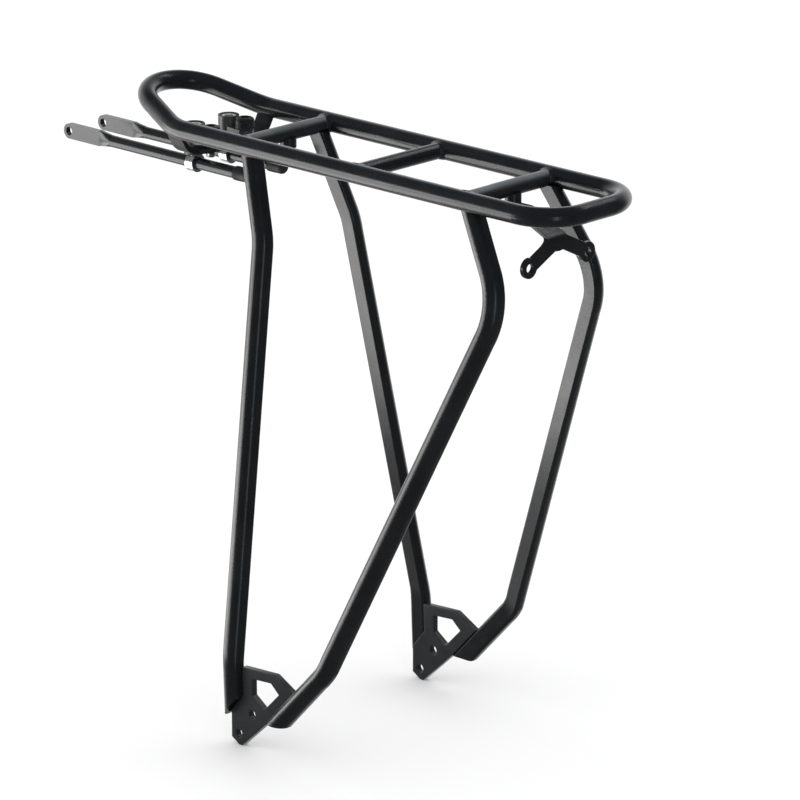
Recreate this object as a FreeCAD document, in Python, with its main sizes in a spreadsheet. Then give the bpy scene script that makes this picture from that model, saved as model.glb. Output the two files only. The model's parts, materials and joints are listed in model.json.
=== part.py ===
import FreeCAD, Part
import math
import os
import Sketcher

# Rear rack for a bicycle, in millimetres.
# +X points to the rear of the bicycle, +Y to its right side, +Z up.
# The origin is the midpoint between the two lower dropout eyelets, on their common axis.

V = FreeCAD.Vector
X_AXIS = V(1, 0, 0)
Y_AXIS = V(0, 1, 0)
Z_AXIS = V(0, 0, 1)
ORIGIN = V(0, 0, 0)
SIDES = {"left": -1, "right": 1}
# Every node that is exported, in the order in which it is made.
NODES = []

DIMENSIONS = [
    ("DeckHeight", 355.0, "eyelet axis to the rail centres"),
    ("RailSpacing", 76.7, "centre to centre of the two rails"),
    ("RailDia", 12.0, "rail tube, outside"),
    ("RailWall", 2.0, "wall of the rail tube"),
    ("RearCornerX", 187.7, "where the rails start to bend at the rear"),
    ("RearCornerRadius", 26.4, "rear corners of the deck loop"),
    ("FrontBendX", -95.6, "where the rails start to rise at the front"),
    ("FrontBendRadius", 40.0, "gentle bend into the raised front"),
    ("FrontTipX", -145.9, "foremost point of the rail centre line"),
    ("FrontTipRise", 14.0, "rise of that point above the deck"),
    ("FrontTipHalf", 21.6, "half width between the front corner points"),
    ("DrainHoleDia", 3.0, "drain hole under the rear of the loop"),
    ("BarDia", 10.0, "cross bars, outside"),
    ("BarWall", 1.8, "wall of the cross bars"),
    ("FrontBarX", -38.6, "front cross bar"),
    ("MiddleBarX", 56.5, "middle cross bar"),
    ("RearBarX", 145.2, "rear cross bar"),
    ("FrontLegWidth", 13.2, "front leg section, along the bicycle"),
    ("RearLegWidth", 14.2, "rear leg section, along the bicycle"),
    ("LegDepth", 10.4, "leg sections, across the bicycle"),
    ("LegWall", 1.8, "wall of the leg tube"),
    ("LegCorner", 2.2, "corner radius beside the flat of the leg"),
    ("LegInside", 156.8, "between the inner faces of the legs, low down"),
    ("PlateInside", 154.8, "between the inner faces of the plates"),
    ("PlateThick", 4.5, "dropout plates"),
    ("EyeletDia", 5.5, "lower and upper eyelets, for M5"),
    ("UpperEyeletX", 11.5, "upper eyelet behind the lower one"),
    ("UpperEyeletZ", 15.0, "upper eyelet above the lower one"),
    ("StaySpacing", 29.2, "centre to centre of the two stays"),
    ("StayHeight", 327.8, "stay centre lines"),
    ("StayDia", 7.5, "stay rods"),
    ("StayTipX", -214.4, "stay tip hole"),
    ("StayTipHole", 5.5, "stay tip hole, for M5"),
    ("StayEndX", -56.0, "rear end of the stay rods"),
    ("BladeHeight", 9.7, "flattened stay tip, height"),
    ("BladeThick", 3.6, "flattened stay tip, thickness"),
    ("CapDia", 9.0, "end cap of a stay"),
    ("CapLength", 12.5, "end cap of a stay"),
    ("CollarX", -103.0, "axis of the collars and eye bolts"),
    ("CollarDia", 13.2, "collar, outside"),
    ("CollarBottom", 333.8, "underside of the collar"),
    ("CollarTop", 352.8, "top of the collar"),
    ("PinDia", 6.0, "shank of the eye bolt, M6"),
    ("RunClear", 0.06, "radial clearance of the running fits"),
    ("EyeDia", 11.4, "eye of the eye bolt, outside"),
    ("EyeWidth", 6.4, "eye of the eye bolt, along the stay"),
    ("NutDia", 9.6, "round nut in the collar"),
    ("NutThick", 3.6, "round nut in the collar"),
    ("ArmScrewX", -88.7, "axis of the arm's cap screw"),
    ("ArmThick", 5.4, "swivel arm"),
    ("ArmWidth", 10.6, "swivel arm, across"),
    ("ArmScrewHead", 12.0, "domed head of the arm's M6 cap screw"),
    ("BridgeFrontX", -95.6, "front edge of the bridge strap in the middle"),
    ("BridgeRearX", -83.9, "rear edge of the bridge strap in the middle"),
    ("BridgeEndShift", -4.6, "the strap's ends lie this far ahead of its middle"),
    ("BridgeThick", 3.0, "bridge strap"),
    ("BridgeTop", 340.6, "upper face of the bridge"),
    ("BridgeBend", 12.5, "bends of the bridge, at mid thickness"),
    ("BridgeHalf", 39.0, "half width where the bridge meets the rails"),
    ("FaceGap", 0.3, "gap between faces that move past each other"),
    ("BossDia", 10.0, "mudguard and lamp bosses"),
    ("BossThread", 4.2, "tapping hole for M5"),
    ("BossThreadDepth", 5.5, "depth of the mudguard boss's thread"),
    ("MudguardBossX", -36.4, "mudguard boss"),
    ("MudguardBossZ", 346.9, "underside of the mudguard boss"),
    ("LampBossX", 148.9, "lamp boss"),
    ("LampBossZ", 345.6, "underside of the lamp boss"),
    ("LampHoleX", 184.5, "lamp bracket holes, along the bicycle"),
    ("LampHoleZ", 319.4, "lamp bracket holes, height"),
    ("LampSpacing", 50.0, "between the lamp bracket holes"),
    ("LampSheet", 2.5, "lamp bracket sheet"),
    ("LampFoldZ", 332.5, "fold line of the lamp bracket"),
    ("LampStrip", 15.4, "width of the lamp bracket's strip"),
]

doc = FreeCAD.newDocument("RearRack")
sheet = doc.addObject("Spreadsheet::Sheet", "Dims")
for row, (alias, value, note) in enumerate(DIMENSIONS, start=1):
    sheet.set(f"A{row}", note)
    sheet.set(f"B{row}", str(value))
    sheet.setAlias(f"B{row}", alias)
doc.recompute()


def dim(alias):
    """Value of a driving dimension in the spreadsheet."""
    return float(sheet.get(alias))


def bind(item, **expressions):
    """Bind properties of an object to expressions of the spreadsheet."""
    for name, text in expressions.items():
        item.setExpression(name, text)


def place(item, **expressions):
    """Bind the coordinates of an object's placement."""
    for axis, text in expressions.items():
        item.setExpression(f"Placement.Base.{axis}", text)


def plane_of(body, role):
    return [item for item in body.Origin.OriginFeatures if item.Role == role][0]


def sketch_on(body, name, role, offset=0.0):
    """Empty sketch on one of the body's own planes, moved along the plane's normal."""
    sketch = body.newObject("Sketcher::SketchObject", name)
    sketch.AttachmentSupport = [(plane_of(body, role), "")]
    sketch.MapMode = "FlatFace"
    sketch.AttachmentOffset = FreeCAD.Placement(V(0, 0, offset), FreeCAD.Rotation())
    return sketch


def draw_outline(sketch, points):
    """Closed outline of straight lines through the points."""
    corners = [V(x, y, 0) for x, y in points]
    first = len(sketch.Geometry)
    count = len(corners)
    for i, corner in enumerate(corners):
        sketch.addGeometry(Part.LineSegment(corner, corners[(i + 1) % count]), False)
    for i in range(count):
        joint = (first + i, 2, first + (i + 1) % count, 1)
        sketch.addConstraint(Sketcher.Constraint("Coincident", *joint))


def draw_circle(sketch, x, y, radius_text):
    """Circle whose radius follows an expression of the spreadsheet."""
    index = sketch.addGeometry(Part.Circle(V(x, y, 0), Z_AXIS, 1.0), False)
    radius = sketch.addConstraint(Sketcher.Constraint("Radius", index, 1.0))
    sketch.setExpression(f"Constraints[{radius}]", radius_text)


def pad(body, sketch, name, length_text, reverse=False, symmetric=False):
    feature = body.newObject("PartDesign::Pad", name)
    feature.Profile = sketch
    feature.Midplane = symmetric
    feature.Reversed = reverse
    feature.setExpression("Length", length_text)
    return feature


def pocket_through(body, sketch, name):
    """Cut the sketch through the whole body, both ways."""
    feature = body.newObject("PartDesign::Pocket", name)
    feature.Profile = sketch
    feature.Type = 1
    feature.Midplane = True
    return feature


def shape_node(label, shape):
    """Node whose solid is made directly, for swept tubes and coped ends."""
    node = doc.addObject("Part::Feature", label)
    node.Label = label
    node.Shape = shape.removeSplitter()
    node.Placement = FreeCAD.Placement()
    NODES.append(node)
    return node


def rounded_path(points, radii):
    """Straight runs through the points, joined by tangent arcs."""
    edges = []
    start = points[0]
    for before, corner, after, radius in zip(points, points[1:], points[2:], radii):
        back = V(before - corner).normalize()
        ahead = V(after - corner).normalize()
        half = back.getAngle(ahead) / 2
        reach = radius / math.tan(half)
        entry = corner + back * reach
        leave = corner + ahead * reach
        bisector = V(back + ahead).normalize()
        middle = corner + bisector * (radius / math.sin(half) - radius)
        if entry.distanceToPoint(start) > 0.01:
            edges.append(Part.LineSegment(start, entry).toShape())
        edges.append(Part.Arc(entry, middle, leave).toShape())
        start = leave
    if points[-1].distanceToPoint(start) > 0.01:
        edges.append(Part.LineSegment(start, points[-1]).toShape())
    return Part.Wire(edges)


def sweep(path, profile, binormal=None):
    """Solid swept by a closed profile along a path."""
    maker = Part.BRepOffsetAPI.MakePipeShell(path)
    if binormal is None:
        maker.setFrenetMode(False)
    else:
        maker.setBiNormalMode(binormal)
    maker.add(profile, False, False)
    maker.build()
    maker.makeSolid()
    return maker.shape()


def ring_wire(centre, direction, radius):
    return Part.Wire([Part.Circle(centre, direction, radius).toShape()])


def rod(radius, start, end):
    """Round solid from one point to another."""
    return Part.makeCylinder(radius, start.distanceToPoint(end), start, end - start)


def hexagon_socket(across_flats, depth, mouth, direction):
    """Hexagonal prism that runs into a screw head from its face."""
    reach = across_flats / math.sqrt(3)
    angles = [math.radians(60 * step) for step in range(7)]
    corners = [mouth + V(reach * math.cos(angle), reach * math.sin(angle), 0) for angle in angles]
    return Part.Face(Part.makePolygon(corners)).extrude(direction * depth)


def mirrored(shape):
    return shape.mirror(ORIGIN, Y_AXIS)


# ---------------------------------------------------------------- deck
DECK_Z = dim("DeckHeight")
HALF = dim("RailSpacing") / 2
RAIL_R = dim("RailDia") / 2
BAR_R = dim("BarDia") / 2
BARS = {
    "cross_bar_front": "FrontBarX",
    "cross_bar_middle": "MiddleBarX",
    "cross_bar_rear": "RearBarX",
}
# The nose has almost no straight run between its two corners.
NOSE_STRAIGHT_HALF = 0.02


def half_loop_path():
    """Right half of the rail's centre line, from the front tip to the middle of the rear."""
    tip = V(dim("FrontTipX"), 0, DECK_Z + dim("FrontTipRise"))
    front_corner = V(tip.x, dim("FrontTipHalf"), tip.z)
    bend = V(dim("FrontBendX"), HALF, DECK_Z)
    rear_x = dim("RearCornerX") + dim("RearCornerRadius")
    points = [tip, front_corner, bend, V(rear_x, HALF, DECK_Z), V(rear_x, 0, DECK_Z)]
    turn = (points[2] - points[1]).getAngle(points[1] - points[0])
    front_radius = (dim("FrontTipHalf") - NOSE_STRAIGHT_HALF) / math.tan(turn / 2)
    return rounded_path(points, [front_radius, dim("FrontBendRadius"), dim("RearCornerRadius")])


def loop_solid(radius):
    path = half_loop_path()
    start = path.OrderedVertexes[0].Point
    half = sweep(path, ring_wire(start, Y_AXIS, radius))
    return half.fuse(mirrored(half))


def deck_loop():
    """Closed tube, with a drain hole underneath at the rear."""
    tube = loop_solid(RAIL_R).cut(loop_solid(RAIL_R - dim("RailWall")))
    rear_x = dim("RearCornerX") + dim("RearCornerRadius")
    low = V(rear_x, 0, DECK_Z - RAIL_R - 1)
    return tube.cut(rod(dim("DrainHoleDia") / 2, low, V(rear_x, 0, DECK_Z)))


def rails_envelope():
    """The two straight rails as solids, for coping what is welded to them."""
    front = V(dim("FrontBendX") + 6, HALF, DECK_Z)
    rear = V(dim("RearCornerX"), HALF, DECK_Z)
    rail = rod(RAIL_R, front, rear)
    return rail.fuse(mirrored(rail))


shape_node("deck_rail", deck_loop())
RAILS = rails_envelope()

for label, alias in BARS.items():
    outer = doc.addObject("Part::Cylinder", f"{label}_outer")
    bore = doc.addObject("Part::Cylinder", f"{label}_bore")
    bind(outer, Radius="Dims.BarDia / 2", Height="Dims.RailSpacing")
    bind(bore, Radius="Dims.BarDia / 2 - Dims.BarWall", Height="Dims.RailSpacing")
    tube = doc.addObject("Part::Cut", f"{label}_tube")
    tube.Base = outer
    tube.Tool = bore
    for item in (outer, bore):
        item.Placement.Rotation = FreeCAD.Rotation(X_AXIS, -90)
        place(item, x=f"Dims.{alias}", y="-Dims.RailSpacing / 2", z="Dims.DeckHeight")
    cutters = []
    for side, sign in SIDES.items():
        rail = doc.addObject("Part::Cylinder", f"{label}_rail_{side}")
        bind(rail, Radius="Dims.RailDia / 2", Height="Dims.RailDia * 4")
        rail.Placement.Rotation = FreeCAD.Rotation(Y_AXIS, 90)
        place(rail, x=f"Dims.{alias} - Dims.RailDia * 2", z="Dims.DeckHeight",
              y=f"{sign} * Dims.RailSpacing / 2")
        cutters.append(rail)
    if label == "cross_bar_front":
        # The mudguard boss's thread runs on into the lower wall of this bar.
        thread = doc.addObject("Part::Cylinder", f"{label}_thread")
        bind(thread, Radius="Dims.BossThread / 2", Height="Dims.BossThreadDepth")
        place(thread, x="Dims.MudguardBossX", z="Dims.MudguardBossZ")
        cutters.append(thread)
    tools = doc.addObject("Part::MultiFuse", f"{label}_cutters")
    tools.Shapes = cutters
    bar = doc.addObject("Part::Cut", label)
    bar.Label = label
    bar.Base = tube
    bar.Tool = tools
    NODES.append(bar)

# ---------------------------------------------------------------- legs and dropout plates
LEG_IN = dim("LegInside") / 2
PLATE_IN = dim("PlateInside") / 2
FRONT_LEG_W = dim("FrontLegWidth")
REAR_LEG_W = dim("RearLegWidth")
LEG_D = dim("LegDepth")
# Height of the section's straight sides, as a share of its depth.
SHOULDER_SHARE = 0.42
# The legs' tops end level, this share of a cross bar's radius below its axis.
TOP_SHARE = 0.7
# Heights and side offsets of the legs' upper points, where they bend outwards.
LEG_TOP_Z = DECK_Z + 2
LEG_KNEE_Z = 298.6
FRONT_LEG_TOP = V(-41.1, 23.6, LEG_TOP_Z)
FRONT_LEG_KNEE = V(-20.7, 33.6, LEG_KNEE_Z)
REAR_LEG_TOP = V(143.4, 28.4, LEG_TOP_Z)
REAR_LEG_KNEE = V(178.4, 38.7, LEG_KNEE_Z)
FRONT_LEG_BENDS = [45, 60]
REAR_LEG_BENDS = [42, 32]
# Height above the eyelets at which the front leg turns upright.
FRONT_LEG_ANKLE_Z = 47.6
FRONT_LEG_ANKLE_SHIFT = 1.8
# The rear leg runs this far along the plate's edge before it bends up.
REAR_LEG_SOLE = 64.5
PLATE_FRONT_X = 3.7
PLATE_TOP_FRONT = (3.0, 43.7)
PLATE_TOP_REAR = (31.2, 45.3)
PLATE_REAR = (47.5, 36.7)
PLATE_LOW_REAR = (27.1, 15.0)
PLATE_NOTCH = (PLATE_FRONT_X, 25.7)
PLATE_NOTCH_FRONT = (-6.3, 13.5)
TUBE_END_Z = 15.0
# The legs are notched for the plate and lap over its outer face by this much.
FRONT_LEG_LAP = 0.9
REAR_LEG_LAP = 1.5
PLATE_OUTLINE = [
    PLATE_TOP_FRONT, PLATE_TOP_REAR, PLATE_REAR, PLATE_LOW_REAR,
    (2.6, -7.4), (0.2, -7.4), (-6.3, -3.6), PLATE_NOTCH_FRONT, PLATE_NOTCH,
]


def leg_profile(start, width, inset):
    """D-shaped section on a horizontal plane: flat face inside, rounded outer side."""
    half = width / 2 - inset
    flat = inset
    crown = LEG_D - inset
    shoulder = LEG_D * SHOULDER_SHARE
    corner = dim("LegCorner") - inset

    def at(x, y):
        return V(start.x + x, start.y + y, start.z)

    slant = corner * (1 - math.sqrt(0.5))
    left_middle = at(-half + slant, flat + slant)
    right_middle = at(half - slant, flat + slant)
    left_corner = Part.Arc(at(-half, flat + corner), left_middle, at(-half + corner, flat))
    right_corner = Part.Arc(at(half - corner, flat), right_middle, at(half, flat + corner))
    crown_ellipse = Part.Ellipse(at(half, shoulder), at(0, crown), at(0, shoulder))
    runs = [
        left_corner,
        Part.LineSegment(at(-half + corner, flat), at(half - corner, flat)),
        right_corner,
        Part.LineSegment(at(half, flat + corner), at(half, shoulder)),
        Part.ArcOfEllipse(crown_ellipse, 0, math.pi),
        Part.LineSegment(at(-half, shoulder), at(-half, flat + corner)),
    ]
    return Part.Wire([run.toShape() for run in runs])


def leg_tube(points, radii, width):
    path = rounded_path(points, radii)
    outer = sweep(path, leg_profile(points[0], width, 0), Y_AXIS)
    inner = sweep(path, leg_profile(points[0], width, dim("LegWall")), Y_AXIS)
    return outer.cut(inner)


def block_below(line, depth=80, margin=20):
    """Block below a line of the XZ plane, wider than the right-hand leg by the margin."""
    (x1, z1), (x2, z2) = line
    near_y = LEG_IN - margin
    corners = [(x1, z1), (x2, z2), (x2, z2 - depth), (x1, z1 - depth), (x1, z1)]
    face = Part.Face(Part.makePolygon([V(x, near_y, z) for x, z in corners]))
    return face.extrude(Y_AXIS * (LEG_D + 2 * margin))


def coped_top(leg, bar_alias):
    """Leg cut flat at the top and fitted round the cross bar and the rail."""
    top_z = DECK_Z - BAR_R * TOP_SHARE
    size = 120
    roof = Part.makeBox(size, size, size, V(dim(bar_alias) - size / 2, 0, top_z))
    bar = rod(BAR_R, V(dim(bar_alias), 0, DECK_Z), V(dim(bar_alias), HALF, DECK_Z))
    return leg.cut(roof).cut(bar).cut(RAILS)


def front_leg():
    foot_x = PLATE_FRONT_X - FRONT_LEG_W / 2 + FRONT_LEG_LAP
    points = [
        FRONT_LEG_TOP,
        FRONT_LEG_KNEE,
        V(foot_x - FRONT_LEG_ANKLE_SHIFT, LEG_IN, FRONT_LEG_ANKLE_Z),
        V(foot_x, LEG_IN, 0),
    ]
    leg = coped_top(leg_tube(points, FRONT_LEG_BENDS, FRONT_LEG_W), "FrontBarX")
    slope = (PLATE_NOTCH[1] - PLATE_NOTCH_FRONT[1]) / (PLATE_NOTCH[0] - PLATE_NOTCH_FRONT[0])
    reach = 25
    cut_line = [(PLATE_NOTCH[0] + step, PLATE_NOTCH[1] + step * slope) for step in (-reach, reach)]
    return leg.cut(block_below(cut_line))


def rear_leg():
    edge = V(PLATE_REAR[0] - PLATE_LOW_REAR[0], 0, PLATE_REAR[1] - PLATE_LOW_REAR[1]).normalize()
    outward = V(edge.z, 0, -edge.x)
    plate_corner = V(PLATE_LOW_REAR[0], LEG_IN, PLATE_LOW_REAR[1])
    foot = plate_corner + outward * (REAR_LEG_W / 2 - REAR_LEG_LAP)
    points = [REAR_LEG_TOP, REAR_LEG_KNEE, foot + edge * REAR_LEG_SOLE, foot - edge * 20]
    leg = coped_top(leg_tube(points, REAR_LEG_BENDS, REAR_LEG_W), "RearBarX")
    outline = [V(x, PLATE_IN, z) for x, z in PLATE_OUTLINE + PLATE_OUTLINE[:1]]
    slab = Part.Face(Part.makePolygon(outline)).extrude(Y_AXIS * dim("PlateThick"))
    return leg.cut(slab).cut(block_below([(-60, TUBE_END_Z), (120, TUBE_END_Z)]))


for name, maker in (("front_leg", front_leg), ("rear_leg", rear_leg)):
    right = maker()
    shape_node(f"{name}_right", right)
    shape_node(f"{name}_left", mirrored(right))

PLATE_WINDOW = [(11.7, 38.0), (27.8, 39.2), (34.5, 33.5), (22.8, 21.6), (20.2, 21.4), (11.7, 27.2)]

for side, sign in SIDES.items():
    plate = doc.addObject("PartDesign::Body", f"dropout_plate_{side}")
    plate.Label = f"dropout_plate_{side}"
    outline = sketch_on(plate, f"plate_outline_{side}", "XZ_Plane")
    draw_outline(outline, PLATE_OUTLINE)
    slab = pad(plate, outline, f"plate_slab_{side}", "Dims.PlateThick", reverse=sign > 0)
    cuts = sketch_on(plate, f"plate_cuts_{side}", "XZ_Plane")
    draw_outline(cuts, PLATE_WINDOW)
    draw_circle(cuts, 0, 0, "Dims.EyeletDia / 2")
    draw_circle(cuts, dim("UpperEyeletX"), dim("UpperEyeletZ"), "Dims.EyeletDia / 2")
    pocket_through(plate, cuts, f"plate_holes_{side}")
    place(plate, y=f"{sign} * Dims.PlateInside / 2")
    NODES.append(plate)

# ---------------------------------------------------------------- bridge for the stays
STAY_Y = dim("StaySpacing") / 2
BRIDGE_TOP = dim("BridgeTop")
BRIDGE_T = dim("BridgeThick")
# How far the strap's ends reach up beside the rails, and how steep they are.
BRIDGE_OVERLAP = 2.5
BRIDGE_RUN_SHARE = 0.55
# Side offsets between which the strap's front and rear edges shift forward, towards its ends.
BRIDGE_FRONT_TURN = (23.5, 27.5)
BRIDGE_REAR_TURN = (20.0, 25.0)
# The trimming outline starts this far below the strap and ends well above it.
BRIDGE_PLAN_BELOW = 10
BRIDGE_PLAN_HEIGHT = 60


def bridge_plan():
    """What the strap keeps, seen from above: its ends lie ahead of its middle."""
    front = dim("BridgeFrontX")
    rear = dim("BridgeRearX")
    shift = dim("BridgeEndShift")
    margin = HALF + RAIL_R
    turn_in, turn_out = BRIDGE_REAR_TURN
    rear_edge = [(rear, turn_in), (rear + shift, turn_out), (rear + shift, margin)]
    turn_in, turn_out = BRIDGE_FRONT_TURN
    front_edge = [(front + shift, margin), (front + shift, turn_out), (front, turn_in)]
    half = rear_edge + front_edge
    outline = half + [(x, -y) for x, y in reversed(half)]
    low = BRIDGE_TOP - BRIDGE_T - BRIDGE_PLAN_BELOW
    corners = [V(x, y, low) for x, y in outline + outline[:1]]
    return Part.Face(Part.makePolygon(corners)).extrude(Z_AXIS * BRIDGE_PLAN_HEIGHT)


def bridge_strap():
    """Flat strap that dips below the rails, tapped for the arms' cap screws."""
    centre_z = BRIDGE_TOP - BRIDGE_T / 2
    rise = DECK_Z - RAIL_R + BRIDGE_OVERLAP - centre_z
    half = dim("BridgeHalf")
    run = rise * BRIDGE_RUN_SHARE
    points = [
        V(0, -half, centre_z + rise), V(0, run - half, centre_z),
        V(0, half - run, centre_z), V(0, half, centre_z + rise),
    ]
    path = rounded_path(points, [dim("BridgeBend")] * 2)
    start = path.OrderedVertexes[0].Point
    tangent = (points[1] - points[0]).normalize()
    rear_side = X_AXIS * dim("BridgeRearX")
    front_side = X_AXIS * (dim("BridgeFrontX") + dim("BridgeEndShift"))
    normal = tangent.cross(X_AXIS).normalize() * (BRIDGE_T / 2)
    corners = [start + rear_side + normal, start + front_side + normal,
               start + front_side - normal, start + rear_side - normal]
    strap = sweep(path, Part.makePolygon(corners + corners[:1]), X_AXIS).common(bridge_plan())
    for sign in SIDES.values():
        screw = V(dim("ArmScrewX"), sign * STAY_Y, BRIDGE_TOP - BRIDGE_T - 1)
        strap = strap.cut(rod(dim("PinDia") / 2, screw, screw + Z_AXIS * (BRIDGE_T + 2)))
    return strap.cut(RAILS)


shape_node("stay_bridge", bridge_strap())

# ---------------------------------------------------------------- arms, screws, eye bolts and nuts
ARM_BOTTOM = BRIDGE_TOP + dim("FaceGap")
ARM_TOP = ARM_BOTTOM + dim("ArmThick")
ARM_REACH = dim("ArmScrewX") - dim("CollarX")
SEAT_DEPTH = dim("NutThick") + 1.0
SCREW_HEAD_HEIGHT = 7.0
SCREW_DOME_R = 2.4
SCREW_SOCKET = 5.0
SCREW_SOCKET_DEPTH = 3.0
# The cap screw's thread ends this far below the bridge's upper face.
SCREW_REACH = 6.6
# The eye bolt's shank ends this far below the collar's rim.
SHANK_DROP = 0.9

for side, sign in SIDES.items():
    arm = doc.addObject("PartDesign::Body", f"swivel_arm_{side}")
    arm.Label = f"swivel_arm_{side}"
    # The body's own axis is the cap screw; the collar stands ARM_REACH ahead of it.
    collar_sketch = sketch_on(arm, f"collar_ring_{side}", "XY_Plane", dim("CollarBottom"))
    draw_circle(collar_sketch, -ARM_REACH, 0, "Dims.CollarDia / 2")
    pad(arm, collar_sketch, f"collar_{side}", "Dims.CollarTop - Dims.CollarBottom")
    web = sketch_on(arm, f"arm_web_{side}", "XY_Plane", ARM_BOTTOM)
    half_width = dim("ArmWidth") / 2
    web.addGeometry(Part.ArcOfCircle(Part.Circle(ORIGIN, Z_AXIS, half_width), -math.pi / 2, math.pi / 2))
    web.addGeometry(Part.LineSegment(V(0, half_width, 0), V(-ARM_REACH, half_width, 0)))
    web.addGeometry(Part.LineSegment(V(-ARM_REACH, half_width, 0), V(-ARM_REACH, -half_width, 0)))
    web.addGeometry(Part.LineSegment(V(-ARM_REACH, -half_width, 0), V(0, -half_width, 0)))
    for first, second in ((0, 1), (1, 2), (2, 3), (3, 0)):
        ends = (first, 2, second, 1)
        web.addConstraint(Sketcher.Constraint("Coincident", *ends))
    pad(arm, web, f"arm_{side}", "Dims.ArmThick")
    holes = sketch_on(arm, f"arm_holes_{side}", "XY_Plane", ARM_BOTTOM)
    draw_circle(holes, -ARM_REACH, 0, "Dims.PinDia / 2 + Dims.RunClear")
    draw_circle(holes, 0, 0, "Dims.PinDia / 2 + Dims.RunClear")
    pocket_through(arm, holes, f"arm_bores_{side}")
    seat = sketch_on(arm, f"nut_seat_{side}", "XY_Plane", dim("CollarTop"))
    draw_circle(seat, -ARM_REACH, 0, "Dims.NutDia / 2 + Dims.FaceGap")
    seat_cut = arm.newObject("PartDesign::Pocket", f"nut_seat_cut_{side}")
    seat_cut.Profile = seat
    seat_cut.Length = SEAT_DEPTH
    place(arm, x="Dims.ArmScrewX", y=f"{sign} * Dims.StaySpacing / 2")
    NODES.append(arm)


def arm_screw(sign):
    """Socket cap screw, its thread through the bridge."""
    axis = V(dim("ArmScrewX"), sign * STAY_Y, 0)
    head_z = ARM_TOP + dim("FaceGap")
    head_r = dim("ArmScrewHead") / 2
    top_z = head_z + SCREW_HEAD_HEIGHT
    head = Part.makeCylinder(head_r, SCREW_HEAD_HEIGHT, axis + Z_AXIS * head_z)
    rim = [edge for edge in head.Edges if edge.BoundBox.ZMin > top_z - 0.1]
    head = head.makeFillet(SCREW_DOME_R, rim)
    shank_start = axis + Z_AXIS * (BRIDGE_TOP - SCREW_REACH)
    shank = rod(dim("PinDia") / 2, shank_start, axis + Z_AXIS * (head_z + 1))
    socket = hexagon_socket(SCREW_SOCKET, SCREW_SOCKET_DEPTH, axis + Z_AXIS * top_z, -Z_AXIS)
    return head.fuse(shank).cut(socket)


def eye_bolt(sign):
    """Ring round the stay with a shank that stands up through the collar."""
    centre = V(dim("CollarX"), sign * STAY_Y, dim("StayHeight"))
    across = X_AXIS * (dim("EyeWidth") / 2)
    ring = rod(dim("EyeDia") / 2, centre - across, centre + across)
    shank_top = dim("CollarTop") - SHANK_DROP
    shank = rod(dim("PinDia") / 2, centre, V(centre.x, centre.y, shank_top))
    hole = rod(dim("StayDia") / 2 + dim("RunClear"), centre - across * 2, centre + across * 2)
    return ring.fuse(shank).cut(hole)


def eye_nut(sign):
    """Round nut in the collar's seat, screwed on the eye bolt."""
    bottom = V(dim("CollarX"), sign * STAY_Y, dim("CollarTop") - SEAT_DEPTH + dim("FaceGap"))
    thick = dim("NutThick")
    nut = Part.makeCylinder(dim("NutDia") / 2, thick, bottom)
    rim = [edge for edge in nut.Edges if edge.BoundBox.ZMin > bottom.z + thick - 0.1]
    nut = nut.makeFillet(0.5, rim)
    return nut.cut(rod(dim("PinDia") / 2, bottom - Z_AXIS, bottom + Z_AXIS * (thick + 1)))


shape_node("arm_screws", Part.Compound([arm_screw(sign) for sign in SIDES.values()]))

for side, sign in SIDES.items():
    shape_node(f"eye_bolt_{side}", eye_bolt(sign))
    shape_node(f"eye_nut_{side}", eye_nut(sign))


# ---------------------------------------------------------------- stays
# Lengths of the flattened tip behind its hole, and of the neck behind that.
BLADE_LENGTH = 27.0
NECK_LENGTH = 11.0
# How far the rod reaches short of the cap's closed end.
CAP_FLOOR = 2.0
CAP_EDGE_R = 2.0


def stay_rod():
    """Round rod along X through the origin, with a flattened and drilled tip."""
    tip_x = dim("StayTipX")
    height = dim("BladeHeight")
    thick = dim("BladeThick")
    blade_end = tip_x + BLADE_LENGTH
    round_start = blade_end + NECK_LENGTH
    radius = dim("StayDia") / 2
    blade = Part.makeBox(blade_end - tip_x, thick, height, V(tip_x, -thick / 2, -height / 2))
    nose = rod(height / 2, V(tip_x, -thick / 2, 0), V(tip_x, thick / 2, 0))
    blade = blade.fuse(nose).removeSplitter()
    loops = [blade_loop(blade_end, height, thick), round_loop(round_start, radius)]
    neck = Part.makeLoft(loops, True, True)
    shaft = rod(radius, V(round_start, 0, 0), V(dim("StayEndX"), 0, 0))
    hole = rod(dim("StayTipHole") / 2, V(tip_x, -thick, 0), V(tip_x, thick, 0))
    return blade.fuse([neck, shaft]).cut(hole)


def blade_loop(x, height, thick):
    half_y = thick / 2
    half_z = height / 2
    signs = [(1, 1), (-1, 1), (-1, -1), (1, -1)]
    corners = [V(x, half_y * side, half_z * level) for side, level in signs]
    return Part.makePolygon(corners + corners[:1])


def round_loop(x, radius):
    """Circle cut into four arcs, to match the four sides of the blade."""
    arcs = []
    for step in range(4):
        angles = [math.radians(45 + 90 * step + part) for part in (0, 45, 90)]
        points = [V(x, radius * math.cos(a), radius * math.sin(a)) for a in angles]
        arcs.append(Part.Arc(*points).toShape())
    return Part.Wire(arcs)


def end_cap():
    """Plain cap pushed on the rear end of a stay."""
    start = dim("StayEndX") - dim("CapLength") + CAP_FLOOR
    finish = start + dim("CapLength")
    cap = rod(dim("CapDia") / 2, V(start, 0, 0), V(finish, 0, 0))
    rim = [edge for edge in cap.Edges if edge.BoundBox.XMin > finish - 0.1]
    cap = cap.makeFillet(CAP_EDGE_R, rim)
    return cap.cut(rod(dim("StayDia") / 2, V(start - 1, 0, 0), V(dim("StayEndX"), 0, 0)))


for side, sign in SIDES.items():
    for label, shape in ((f"stay_{side}", stay_rod()), (f"stay_end_cap_{side}", end_cap())):
        node = shape_node(label, shape)
        place(node, y=f"{sign} * Dims.StaySpacing / 2", z="Dims.StayHeight")


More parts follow.
